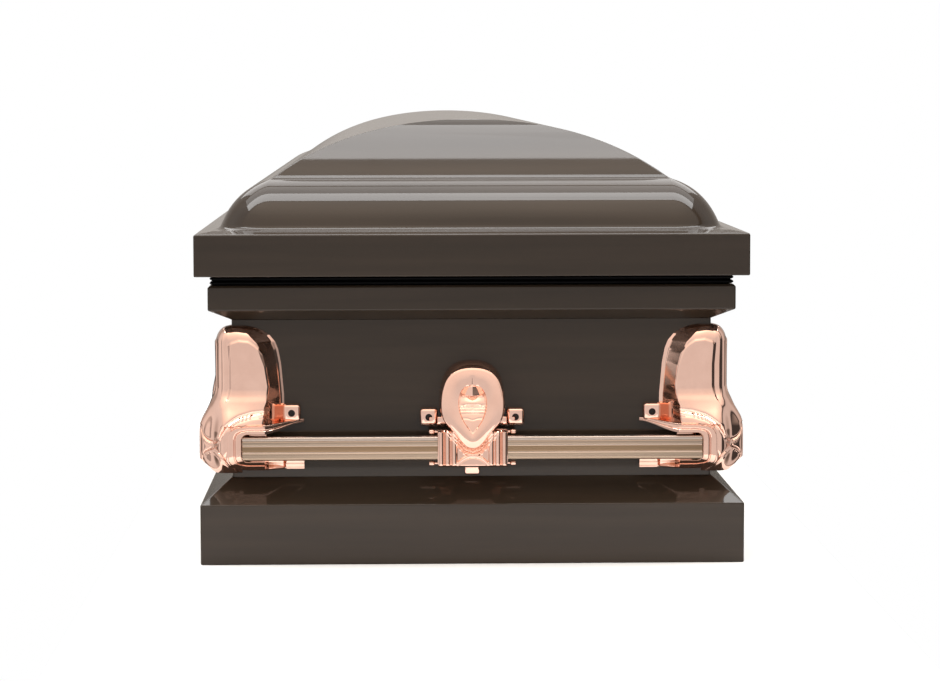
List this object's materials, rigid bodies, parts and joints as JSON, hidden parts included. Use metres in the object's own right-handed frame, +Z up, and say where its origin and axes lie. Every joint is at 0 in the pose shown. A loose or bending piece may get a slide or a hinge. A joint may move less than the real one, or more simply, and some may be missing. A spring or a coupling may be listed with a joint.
{
  "type": "funeral casket",
  "caption": "Sheet steel funeral casket with a domed lift-off lid, flared base moulding, plated corner castings, lugs and fluted carrying bars.",
  "frame": {"origin": "centre of the underside of the base moulding, on the ground", "axes": "+Z up; +Y along the length, away from the pictured end; +X across, to the right as seen from that end"},
  "size_m": [0.714, 2.137, 0.57],
  "materials": {
    "bronze_paint": "gloss dark bronze-brown enamel",
    "rose_plating": "polished rose-gold plating",
    "satin_bar": "brushed satin champagne plating",
    "seal_rubber": "matt black"
  },
  "bodies": {
    "root": {"bottom_panel": "bronze_paint", "lid": "bronze_paint", "wall_panel_front": "bronze_paint", "wall_panel_right": "bronze_paint", "wall_panel_back": "bronze_paint", "wall_panel_left": "bronze_paint", "base_molding_front": "bronze_paint", "base_molding_right": "bronze_paint", "base_molding_back": "bronze_paint", "base_molding_left": "bronze_paint", "body_molding_front": "bronze_paint", "body_molding_right": "bronze_paint", "body_molding_back": "bronze_paint", "body_molding_left": "bronze_paint", "gasket": "seal_rubber", "corner_casting_front_left": "rose_plating", "corner_casting_front_right": "rose_plating", "corner_casting_back_right": "rose_plating", "corner_casting_back_left": "rose_plating", "lug_front": "rose_plating", "lug_back": "rose_plating", "lug_right_1": "rose_plating", "lug_right_2": "rose_plating", "lug_right_3": "rose_plating", "lug_left_1": "rose_plating", "lug_left_2": "rose_plating", "lug_left_3": "rose_plating", "bar_front": "satin_bar", "bar_right": "satin_bar", "bar_back": "satin_bar", "bar_left": "satin_bar"}
  },
  "joints": []
}
